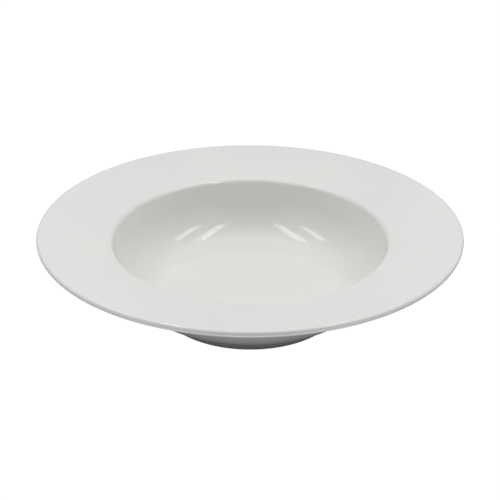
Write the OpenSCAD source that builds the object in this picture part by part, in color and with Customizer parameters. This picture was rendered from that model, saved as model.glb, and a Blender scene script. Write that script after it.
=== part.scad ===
// Wide-rimmed ceramic pasta bowl: a fired clay body with a low foot ring, a coat of glaze over all that
// shows, and a second patch of glaze in the recess under the base. The foot ring's standing edge is bare.
// The bowl stands on z = 0, with its axis of revolution along Z.

/* [Overall] */
// Diameter over the rim
bowl_d = 300; // [270:1:330]
// Height from the table to the top of the rim
bowl_h = 65; // [58:0.5:74]

/* [Rim] */
// Thickness of the rim at its rounded edge
edge_t = 4.2; // [3:0.1:6]
// Thickness of the rim where it meets the well
rim_root_t = 5; // [4:0.1:6.5]
// Height of the rim's edge above the lip of the well
rim_rise = 9; // [4:0.1:13]

/* [Well] */
// Diameter of the well inside its lip
well_d = 195; // [175:1:215]
// Radius of the rounded lip between rim and well
lip_r = 4; // [2.5:0.5:8]
// Lean of the well's wall away from upright, in degrees
wall_lean = 8.5; // [3:0.1:16]
// Radius of the hollow corner between wall and floor
cove_r = 36; // [24:0.5:40]
// Height of the well's floor above the table
floor_z = 11.5; // [10:0.1:14]

/* [Thickness] */
// Thickness of the well's wall
wall_t = 4.2; // [3.5:0.1:6]
// Thickness of the well's floor
floor_t = 5.6; // [4:0.1:6.5]
// Radius of the hollow corner under the lip, between wall and rim
shoulder_r = 8; // [4:0.5:14]

/* [Foot ring] */
// Diameter of the foot ring at the table
foot_d = 133; // [116:1:144]
// Height of the foot ring on its outside
foot_h = 4.8; // [4:0.1:6]
// Width of the flat face that the bowl stands on
bearing_w = 2.4; // [1.5:0.1:4]
// Radius of the bare rounded edges on either side of that face
foot_edge_r = 1.2; // [0.6:0.1:1.8]
// How far each side of the ring spreads towards its root
foot_flare = 1; // [0:0.1:2]
// Radius of the hollow corners at the ring's root
foot_root_r = 2.4; // [1:0.1:3]

/* [Glaze] */
// Thickness of the glaze
glaze_t = 0.3; // [0.15:0.05:0.5]

/* [Hidden] */
$fn = 180;

// The furthest that a drawn arc may lie from its true circle
arc_sag = 0.02;
// The least straight height that the wall keeps above its curve
wall_straight_h = 1;

clay_colour = [0.90, 0.88, 0.84];
glaze_colour = [0.87, 0.87, 0.86];

bowl_r = bowl_d / 2;
edge_r = edge_t / 2;
base_z = floor_z - floor_t;
foot_r = foot_d / 2;
foot_in_r = foot_r - bearing_w - 2 * foot_edge_r;

// Unit vector at an angle
function unit(angle) = [cos(angle), sin(angle)];

// The point that lies da along unit vector a and db along unit vector b
function meet(a, da, b, db) =
    [da * b[1] - db * a[1], db * a[0] - da * b[0]] / (a[0] * b[1] - a[1] * b[0]);

// A section is a belt run round circles, each [centre, radius], with the clay on the belt's left. A positive
// radius rounds an outer corner and a negative one a hollow. The belt is straight from one circle to the next,
// and this is the outward direction, as an angle, of the straight stretch from circle p to circle q.
function facing(p, q) =
    let (
        apart = q[0] - p[0],
        slant = asin(max(-1, min(1, (p[1] - q[1]) / norm(apart))))
    )
    atan2(apart[1], apart[0]) + slant - 90;

// The belt's turn from facing a to facing b: leftwards round an outer corner, rightwards round a hollow
function turn(a, b, radius) =
    let (side = sign(radius))
    side * ((side * (b - a) + 450) % 360 - 90);

// The arc round circle c, between the stretches from the circle before it and to the circle after it
function arc(before, c, after) =
    let (
        start = facing(before, c),
        swept = turn(start, facing(c, after), c[1]),
        step = 2 * acos(1 - min(1, arc_sag / abs(c[1]))),
        count = max(1, ceil(abs(swept) / step))
    )
    [for (i = [0:count]) c[0] + c[1] * unit(start + swept * i / count)];

// The belt round a list of circles, from where it leaves the first to where it meets the last
function belt(circles) =
    let (last = len(circles) - 1)
    [
        circles[0][0] + circles[0][1] * unit(facing(circles[0], circles[1])),
        for (i = [1:last - 1]) each arc(circles[i - 1], circles[i], circles[i + 1]),
        circles[last][0] + circles[last][1] * unit(facing(circles[last - 1], circles[last]))
    ];

function reversed(points) = [for (i = [len(points) - 1:-1:0]) points[i]];

// Centres of the section's circles. The wall and the rim's upper face are tangent to the lip's circle. The
// shoulder's is tangent to the outer wall and the rim's underside, and the cove's to the wall and the floor.
// The belly outside shares the cove's centre, and the shoulder limits how high the two can rise.
up = [0, 1];
edge_centre = [bowl_r - edge_r, bowl_h - edge_r];
lip_centre = [well_d / 2 + lip_r, bowl_h - rim_rise - lip_r];
wall_facing = unit(180 - wall_lean);
wall_at = lip_centre * wall_facing + lip_r;
rim_facing = unit(facing([edge_centre, edge_r], [lip_centre, lip_r]));
rim_at = lip_centre * rim_facing + lip_r;
shoulder_centre = meet(
    wall_facing, wall_at - wall_t - shoulder_r,
    rim_facing, rim_at - rim_root_t - shoulder_r
);
wall_slope = wall_facing[1];
belly_top = shoulder_centre[1] + shoulder_r * wall_slope - wall_straight_h;
cove_fit_r = min(cove_r, (belly_top - floor_z + wall_t * wall_slope) / (1 - wall_slope));
belly_r = cove_fit_r + wall_t;
cove_centre = meet(wall_facing, wall_at + cove_fit_r, up, floor_z + cove_fit_r);
outer_root_centre = [foot_r + foot_flare + foot_root_r, foot_h - foot_root_r];
inner_root_centre = [foot_in_r - foot_flare - foot_root_r, base_z - foot_root_r];
outer_foot_centre = [foot_r - foot_edge_r, foot_edge_r];
inner_foot_centre = [foot_in_r + foot_edge_r, foot_edge_r];

// Circles from the foot's outer edge up the outside, over the rim and down to the middle of the well's floor,
// at a depth below the glazed surface: no depth is the glaze's own face, and glaze_t is the clay's
function outer_circles(depth) = [
    [outer_foot_centre, foot_edge_r + glaze_t - depth],
    [outer_root_centre, -foot_root_r - depth],
    [cove_centre, belly_r - depth],
    [shoulder_centre, -shoulder_r - depth],
    [edge_centre, edge_r - depth],
    [lip_centre, lip_r - depth],
    [cove_centre, -cove_fit_r - depth],
    [[0, floor_z], -depth]
];

// Circles from the middle of the base out to the foot's inner edge, in the same way
function recess_circles(depth) = [
    [[0, base_z], -depth],
    [inner_root_centre, -foot_root_r - depth],
    [inner_foot_centre, foot_edge_r + glaze_t - depth]
];

// A skin of glaze, between its own face and the clay's
module glaze_skin(face, clay) {
    color(glaze_colour)
        rotate_extrude()
            polygon(concat(belt(face), reversed(belt(clay))));
}

module clay_body() {
    color(clay_colour)
        rotate_extrude()
            polygon(belt(concat(recess_circles(glaze_t), outer_circles(glaze_t))));
}

module glaze_coat() {
    glaze_skin(outer_circles(0), outer_circles(glaze_t));
}

module base_glaze() {
    glaze_skin(recess_circles(0), recess_circles(glaze_t));
}

clay_body();
glaze_coat();
base_glaze();
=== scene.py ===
"""A wide-rimmed pasta bowl of glazed porcelain on a pale studio table.

The glaze is built as smooth turned skins over the clay body of the frame.
Lengths are in metres and angles in radians.
"""
import math

import bpy
import numpy as np
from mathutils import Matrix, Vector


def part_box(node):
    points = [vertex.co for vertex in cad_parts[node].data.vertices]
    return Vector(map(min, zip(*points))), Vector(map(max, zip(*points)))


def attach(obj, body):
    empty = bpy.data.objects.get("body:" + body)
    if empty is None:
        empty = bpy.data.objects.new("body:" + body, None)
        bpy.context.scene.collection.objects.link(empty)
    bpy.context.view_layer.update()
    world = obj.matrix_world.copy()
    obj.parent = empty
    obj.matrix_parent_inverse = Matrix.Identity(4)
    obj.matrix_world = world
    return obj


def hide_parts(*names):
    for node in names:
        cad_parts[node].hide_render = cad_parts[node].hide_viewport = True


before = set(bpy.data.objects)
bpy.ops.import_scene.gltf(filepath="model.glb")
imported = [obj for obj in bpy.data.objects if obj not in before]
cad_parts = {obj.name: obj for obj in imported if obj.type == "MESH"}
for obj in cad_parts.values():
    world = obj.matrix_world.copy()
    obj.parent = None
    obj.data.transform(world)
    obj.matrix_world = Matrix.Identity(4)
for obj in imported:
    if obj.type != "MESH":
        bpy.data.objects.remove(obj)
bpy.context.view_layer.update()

# Sizes of the bowl's section. The overall ones come from the frame.
_, glaze_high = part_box("glaze_coat")
_, clay_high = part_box("clay_body")
BOWL_R = glaze_high.x
BOWL_H = glaze_high.z
GLAZE_T = glaze_high.z - clay_high.z
EDGE_T = 0.0042
RIM_ROOT_T = 0.005
RIM_RISE = 0.009
WELL_R = 0.0975
LIP_R = 0.004
WALL_LEAN = math.radians(8.5)
COVE_R = 0.036
FLOOR_Z = 0.0115
WALL_T = 0.0042
FLOOR_T = 0.0056
SHOULDER_R = 0.008
FOOT_R = 0.0665
FOOT_H = 0.0048
BEARING_W = 0.0024
FOOT_EDGE_R = 0.0012
FOOT_FLARE = 0.001
FOOT_ROOT_R = 0.0024

# Fineness of the turned skins
SEGMENTS = 192
ARC_STEP = math.radians(3)
ARC_LEAST_STEPS = 2
STRAIGHT_STEP = 0.003


def unit(angle):
    """Unit vector at an angle."""
    return np.array([math.cos(angle), math.sin(angle)])


def meet(a, along_a, b, along_b):
    """The point that lies along_a along unit vector a and along_b along unit vector b."""
    return np.linalg.solve(np.array([a, b]), np.array([along_a, along_b]))


# The section is a belt run round circles, each (centre, radius). A positive radius rounds an outer corner,
# and a negative one rounds a hollow.


def facing(p, q):
    """Outward direction of the belt's straight stretch from circle p to circle q."""
    apart = q[0] - p[0]
    slant = math.asin(max(-1.0, min(1.0, (p[1] - q[1]) / np.linalg.norm(apart))))
    return math.atan2(apart[1], apart[0]) + slant - math.pi / 2


def turn(a, b, radius):
    """The belt's turn from facing a to facing b: left round an outer corner, right round a hollow."""
    side = math.copysign(1.0, radius)
    return side * ((side * (b - a) + 2.5 * math.pi) % (2 * math.pi) - math.pi / 2)


def arc(before, circle, after):
    """Points of a belt round one circle, between the circles before and after it."""
    start = facing(before, circle)
    swept = turn(start, facing(circle, after), circle[1])
    count = max(ARC_LEAST_STEPS, math.ceil(abs(swept) / ARC_STEP))
    return [circle[0] + circle[1] * unit(start + swept * i / count) for i in range(count + 1)]


def belt(circles):
    """Points of a belt round a list of circles, with its straight stretches divided."""
    corners = [circles[0][0] + circles[0][1] * unit(facing(circles[0], circles[1]))]
    for before, circle, after in zip(circles, circles[1:], circles[2:]):
        corners += arc(before, circle, after)
    corners.append(circles[-1][0] + circles[-1][1] * unit(facing(circles[-2], circles[-1])))
    points = corners[:1]
    for p, q in zip(corners, corners[1:]):
        count = math.ceil(np.linalg.norm(q - p) / STRAIGHT_STEP)
        points += [p + (q - p) * i / count for i in range(1, count + 1)]
    return points


def section_circles():
    """The circles that the glazed faces run round: those of the outside and well, and those of the recess."""
    up = np.array([0.0, 1.0])
    edge_r = EDGE_T / 2
    base_z = FLOOR_Z - FLOOR_T
    foot_in_r = FOOT_R - BEARING_W - 2 * FOOT_EDGE_R
    edge = np.array([BOWL_R - edge_r, BOWL_H - edge_r])
    lip = np.array([WELL_R + LIP_R, BOWL_H - RIM_RISE - LIP_R])
    wall = unit(math.pi - WALL_LEAN)
    wall_at = lip @ wall + LIP_R
    rim = unit(facing((edge, edge_r), (lip, LIP_R)))
    rim_at = lip @ rim + LIP_R
    shoulder = meet(wall, wall_at - WALL_T - SHOULDER_R, rim, rim_at - RIM_ROOT_T - SHOULDER_R)
    cove = meet(wall, wall_at + COVE_R, up, FLOOR_Z + COVE_R)
    outer_root = np.array([FOOT_R + FOOT_FLARE + FOOT_ROOT_R, FOOT_H - FOOT_ROOT_R])
    inner_root = np.array([foot_in_r - FOOT_FLARE - FOOT_ROOT_R, base_z - FOOT_ROOT_R])
    outer_foot = np.array([FOOT_R - FOOT_EDGE_R, FOOT_EDGE_R])
    inner_foot = np.array([foot_in_r + FOOT_EDGE_R, FOOT_EDGE_R])
    foot_edge_r = FOOT_EDGE_R + GLAZE_T
    outside = [
        (outer_foot, foot_edge_r),
        (outer_root, -FOOT_ROOT_R),
        (cove, COVE_R + WALL_T),
        (shoulder, -SHOULDER_R),
        (edge, edge_r),
        (lip, LIP_R),
        (cove, -COVE_R),
        (np.array([0.0, FLOOR_Z]), 0.0),
    ]
    recess = [
        (np.array([0.0, base_z]), 0.0),
        (inner_root, -FOOT_ROOT_R),
        (inner_foot, foot_edge_r),
    ]
    return outside, recess


def sunk(circles, depth):
    """The same circles for a face that lies at a depth below the glazed one."""
    return [(centre, radius - depth) for centre, radius in circles]


def turned_mesh(name, outline):
    """A smooth mesh that turns an outline, from one point on the axis to another, about Z."""
    rings = outline[1:-1]
    angles = np.linspace(0, 2 * math.pi, SEGMENTS, endpoint=False)
    vertices = [(0.0, 0.0, outline[0][1]), (0.0, 0.0, outline[-1][1])]
    first = len(vertices)
    last = first + (len(rings) - 1) * SEGMENTS
    for r, z in rings:
        vertices += [(r * math.cos(a), r * math.sin(a), z) for a in angles]
    faces = []
    for i in range(SEGMENTS):
        j = (i + 1) % SEGMENTS
        faces.append((0, first + j, first + i))
        faces.append((1, last + i, last + j))
        for start in range(first, last, SEGMENTS):
            faces.append((start + i, start + j, start + SEGMENTS + j, start + SEGMENTS + i))
    mesh = bpy.data.meshes.new(name)
    mesh.from_pydata(vertices, [], faces)
    mesh.polygons.foreach_set("use_smooth", [True] * len(mesh.polygons))
    mesh.update()
    return mesh


def glaze_skin(name, circles, node):
    """A skin of glaze on the clay, which stands for a node of the frame."""
    face = belt(circles)
    clay = belt(sunk(circles, GLAZE_T))
    # The outline starts and ends on the axis.
    outline = face[::-1] + clay if face[-1][0] == 0 else face + clay[::-1]
    piece = bpy.data.objects.new(name, turned_mesh(name, outline))
    bpy.context.scene.collection.objects.link(piece)
    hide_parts(node)
    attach(piece, "root")
    return piece


# Materials. A noise is given by its scale, in cells to the metre, and its detail.

GLAZE_LIGHT = (0.80, 0.80, 0.782)
GLAZE_DEEP = (0.777, 0.78, 0.762)
GLAZE_STOPS = ((0.3, GLAZE_DEEP), (0.7, GLAZE_LIGHT))
GLAZE_CLOUDS = (14.0, 2.0)
GLAZE_IOR = 1.5
GLAZE_SHINE = (60.0, 3.0)
GLAZE_ROUGHNESS = (0.03, 0.06)
GLAZE_WAVES = (35.0, 1.0)
GLAZE_WAVE_DEPTH = 0.0001
GLAZE_RIPPLES = (240.0, 1.0)
GLAZE_RIPPLE_DEPTH = 0.00001
CLAY_LIGHT = (0.58, 0.57, 0.545)
CLAY_DARK = (0.41, 0.4, 0.375)
CLAY_STOPS = ((0.25, CLAY_DARK), (0.6, CLAY_LIGHT))
CLAY_GRAIN = (2400.0, 4.0)
CLAY_ROUGHNESS = (0.95, 0.75)
CLAY_GRAIN_DEPTH = 0.00008


def material(name):
    """A new material with its node tree and its shader."""
    made = bpy.data.materials.new(name)
    made.use_nodes = True
    return made, made.node_tree, made.node_tree.nodes["Principled BSDF"]


def noise(tree, scale, detail):
    """The value of a noise texture in the object's own coordinates."""
    place = tree.nodes.new("ShaderNodeTexCoord")
    texture = tree.nodes.new("ShaderNodeTexNoise")
    texture.inputs["Scale"].default_value = scale
    texture.inputs["Detail"].default_value = detail
    tree.links.new(place.outputs["Object"], texture.inputs["Vector"])
    return texture.outputs["Fac"]


def ramp(tree, value, stops):
    """A colour ramp over a value, with stops of (place, colour)."""
    made = tree.nodes.new("ShaderNodeValToRGB")
    elements = made.color_ramp.elements
    while len(elements) < len(stops):
        elements.new(1.0)
    for element, (place, colour) in zip(elements, stops):
        element.position = place
        element.color = (*colour, 1.0)
    tree.links.new(value, made.inputs["Fac"])
    return made.outputs["Color"]


def spread(tree, value, low, high):
    """A value from 0 to 1 spread over a range."""
    made = tree.nodes.new("ShaderNodeMapRange")
    made.inputs["To Min"].default_value = low
    made.inputs["To Max"].default_value = high
    tree.links.new(value, made.inputs["Value"])
    return made.outputs["Result"]


def bump(tree, height, depth, below=None):
    """A bump of a given depth, laid over another one if there is one."""
    made = tree.nodes.new("ShaderNodeBump")
    made.inputs["Distance"].default_value = depth
    tree.links.new(height, made.inputs["Height"])
    if below is not None:
        tree.links.new(below, made.inputs["Normal"])
    return made.outputs["Normal"]


def glaze_material():
    """White glaze, a little cloudy in colour and shine, with low waves and finer ripples."""
    made, tree, shader = material("glaze")
    colour = ramp(tree, noise(tree, *GLAZE_CLOUDS), GLAZE_STOPS)
    roughness = spread(tree, noise(tree, *GLAZE_SHINE), *GLAZE_ROUGHNESS)
    waves = bump(tree, noise(tree, *GLAZE_WAVES), GLAZE_WAVE_DEPTH)
    ripples = bump(tree, noise(tree, *GLAZE_RIPPLES), GLAZE_RIPPLE_DEPTH, waves)
    tree.links.new(colour, shader.inputs["Base Color"])
    tree.links.new(roughness, shader.inputs["Roughness"])
    tree.links.new(ripples, shader.inputs["Normal"])
    shader.inputs["IOR"].default_value = GLAZE_IOR
    return made


def clay_material():
    """Bare fired clay, with a fine grain in its colour, roughness and surface."""
    made, tree, shader = material("bare_clay")
    grain = noise(tree, *CLAY_GRAIN)
    tree.links.new(ramp(tree, grain, CLAY_STOPS), shader.inputs["Base Color"])
    tree.links.new(spread(tree, grain, *CLAY_ROUGHNESS), shader.inputs["Roughness"])
    tree.links.new(bump(tree, grain, CLAY_GRAIN_DEPTH), shader.inputs["Normal"])
    return made


# The bowl

outside_circles, recess_circles = section_circles()
glaze = glaze_material()
for skin in (
    glaze_skin("glaze_skin", outside_circles, "glaze_coat"),
    glaze_skin("recess_glaze_skin", recess_circles, "base_glaze"),
):
    skin.data.materials.append(glaze)

clay_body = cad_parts["clay_body"]
clay_body.data.materials.clear()
clay_body.data.materials.append(clay_material())

# The stage: a table that only the camera sees, and a floor under the bowl that only the bowl sees
TABLE_R = 3.0
SWEEP_R = 1.5
SWEEP_STEPS = 12
WALL_TOP = 8.0
TABLE_WHITE = 0.3
TABLE_GLOW = 0.93
BOUNCE_WHITE = 0.41
PAPER_ROUGHNESS = 0.9

# Strip lights over the bowl, along Y. On each side an inner pair of narrow rows is made of equal parts, whose
# shares of brightness go from the camera's side to the back, and a wider strip hangs further out.
STRIP_Z = 0.53
INNER_STRIP_X = 0.173
ROW_GAP = 0.03
ROW_W = 0.006
ROW_L = 0.36
ROW_POWER = 0.135
ROW_SHARES = (1.6, 1.0, 0.75, 0.65)
OUTER_STRIP_X = 0.381
OUTER_STRIP_W = 0.09
OUTER_STRIP_L = 0.3
OUTER_STRIP_POWER = 0.31

# A low card before the bowl, which lights its underside and the lower side of the rim's edge
FRONT_CARD = (0.8, 0.06)
FRONT_CARD_Y = -0.195
FRONT_CARD_Z = 0.002
FRONT_CARD_POWER = 0.175

# Brightness of the surroundings from the camera's side, y = -1, over the top to the back, y = 1. Towards the
# left and right it blends into one even share.
SKY_PEAK = 1.64
SKY_SHARES = ((-0.75, 0.03), (-0.35, 0.21), (0.0, 0.8), (0.35, 1.0), (0.75, 0.25))
SIDE_SHARE = 0.42
SIDE_START = 0.1
SIDE_FULL = 0.9


def paper(name, white, glow=0.0):
    """Matt white paper, which may also give light."""
    made, _, shader = material(name)
    shader.inputs["Base Color"].default_value = (white, white, white, 1.0)
    shader.inputs["Roughness"].default_value = PAPER_ROUGHNESS
    shader.inputs["Emission Color"].default_value = (1.0, 1.0, 1.0, 1.0)
    shader.inputs["Emission Strength"].default_value = glow
    return made


def stage_object(name, mesh, surface):
    """An object of the studio, which isn't part of the bowl."""
    mesh.materials.append(surface)
    made = bpy.data.objects.new(name, mesh)
    bpy.context.scene.collection.objects.link(made)
    return made


def white_sweep():
    """A table top that curves up into a wall all round. The camera sees it as plain white."""
    outline = [np.array([0.0, 0.0])]
    for i in range(SWEEP_STEPS + 1):
        bend = math.pi / 2 * i / SWEEP_STEPS
        outline.append(np.array([TABLE_R + SWEEP_R * math.sin(bend), SWEEP_R * (1 - math.cos(bend))]))
    outline.append(np.array([TABLE_R + SWEEP_R, WALL_TOP]))
    outline.append(np.array([0.0, WALL_TOP]))
    surface = paper("table_top", TABLE_WHITE, TABLE_GLOW)
    sweep = stage_object("white_sweep", turned_mesh("white_sweep", outline), surface)
    sweep.visible_diffuse = False
    sweep.visible_glossy = False
    sweep.visible_transmission = False
    sweep.visible_shadow = False


def bounce_floor():
    """The floor that lights the bowl's underside, which the camera doesn't see."""
    corners = [(sx * TABLE_R, sy * TABLE_R, 0) for sx, sy in ((-1, -1), (1, -1), (1, 1), (-1, 1))]
    mesh = bpy.data.meshes.new("bounce_floor")
    mesh.from_pydata(corners, [], [(0, 1, 2, 3)])
    floor = stage_object("bounce_floor", mesh, paper("bounce_paper", BOUNCE_WHITE))
    floor.visible_camera = False


def area_light(name, size, place, power, tilt=0.0):
    """A rectangular light that the camera doesn't see. It faces down, unless it is tilted about X."""
    data = bpy.data.lights.new(name, "AREA")
    data.shape = "RECTANGLE"
    data.size, data.size_y = size
    data.energy = power
    light = bpy.data.objects.new(name, data)
    bpy.context.scene.collection.objects.link(light)
    light.location = place
    light.rotation_euler = (tilt, 0, 0)
    light.visible_camera = False


def light_row(name, x):
    """A narrow row of light along Y, in equal parts that differ in brightness."""
    parts = len(ROW_SHARES)
    part_l = ROW_L / parts
    for part, share in enumerate(ROW_SHARES):
        place = (x, (part + 0.5) * part_l - ROW_L / 2, STRIP_Z)
        area_light(f"{name}_{part}", (ROW_W, part_l), place, ROW_POWER * share / parts)


def lights():
    """The strips on both sides over the bowl, and the card before it, which faces up."""
    for side, word in ((-1, "left"), (1, "right")):
        for row, row_word in ((-1, "a"), (1, "b")):
            light_row(f"strip_{word}_{row_word}", side * INNER_STRIP_X + row * ROW_GAP / 2)
        outer_place = (side * OUTER_STRIP_X, 0, STRIP_Z)
        area_light(f"outer_strip_{word}", (OUTER_STRIP_W, OUTER_STRIP_L), outer_place, OUTER_STRIP_POWER)
    card_place = (0, FRONT_CARD_Y, FRONT_CARD_Z)
    area_light("front_card", FRONT_CARD, card_place, FRONT_CARD_POWER, tilt=math.pi)


def sky():
    """Soft light from over the bowl, graded along Y, that blends into an even light at its sides."""
    world = bpy.data.worlds.new("studio")
    bpy.context.scene.world = world
    world.use_nodes = True
    tree = world.node_tree
    direction = tree.nodes.new("ShaderNodeTexCoord")
    axes = tree.nodes.new("ShaderNodeSeparateXYZ")
    tree.links.new(direction.outputs["Generated"], axes.inputs["Vector"])
    along = tree.nodes.new("ShaderNodeMapRange")
    along.inputs["From Min"].default_value = -1.0
    tree.links.new(axes.outputs["Y"], along.inputs["Value"])
    stops = [((y + 1) / 2, (share, share, share)) for y, share in SKY_SHARES]
    sideways = tree.nodes.new("ShaderNodeMath")
    sideways.operation = "ABSOLUTE"
    tree.links.new(axes.outputs["X"], sideways.inputs[0])
    blend = tree.nodes.new("ShaderNodeMapRange")
    blend.interpolation_type = "SMOOTHSTEP"
    blend.inputs["From Min"].default_value = SIDE_START
    blend.inputs["From Max"].default_value = SIDE_FULL
    blend.inputs["To Max"].default_value = SIDE_SHARE
    tree.links.new(sideways.outputs["Value"], blend.inputs["Value"])
    tree.links.new(ramp(tree, along.outputs["Result"], stops), blend.inputs["To Min"])
    background = tree.nodes["Background"]
    tree.links.new(blend.outputs["Result"], background.inputs["Color"])
    background.inputs["Strength"].default_value = SKY_PEAK


white_sweep()
bounce_floor()
sky()
lights()

# The camera stands at a distance and height over the bowl's middle, and looks a little above it.
CAMERA_DISTANCE = 0.8
CAMERA_ELEVATION = math.radians(27.932)
CAMERA_PITCH = math.radians(27.096)
CAMERA_CENTRE_Z = 0.03
CAMERA_ROLL = math.radians(0.17)
LENS_MM = 79.38

camera_data = bpy.data.cameras.new("camera")
camera_data.lens = LENS_MM
camera = bpy.data.objects.new("camera", camera_data)
bpy.context.scene.collection.objects.link(camera)
camera.location = (
    0,
    -CAMERA_DISTANCE * math.cos(CAMERA_ELEVATION),
    CAMERA_CENTRE_Z + CAMERA_DISTANCE * math.sin(CAMERA_ELEVATION),
)
camera.rotation_euler = (math.pi / 2 - CAMERA_PITCH, 0, 0)
camera.rotation_euler.rotate_axis("Z", CAMERA_ROLL)
bpy.context.scene.camera = camera
bpy.context.scene.view_settings.view_transform = "Standard"
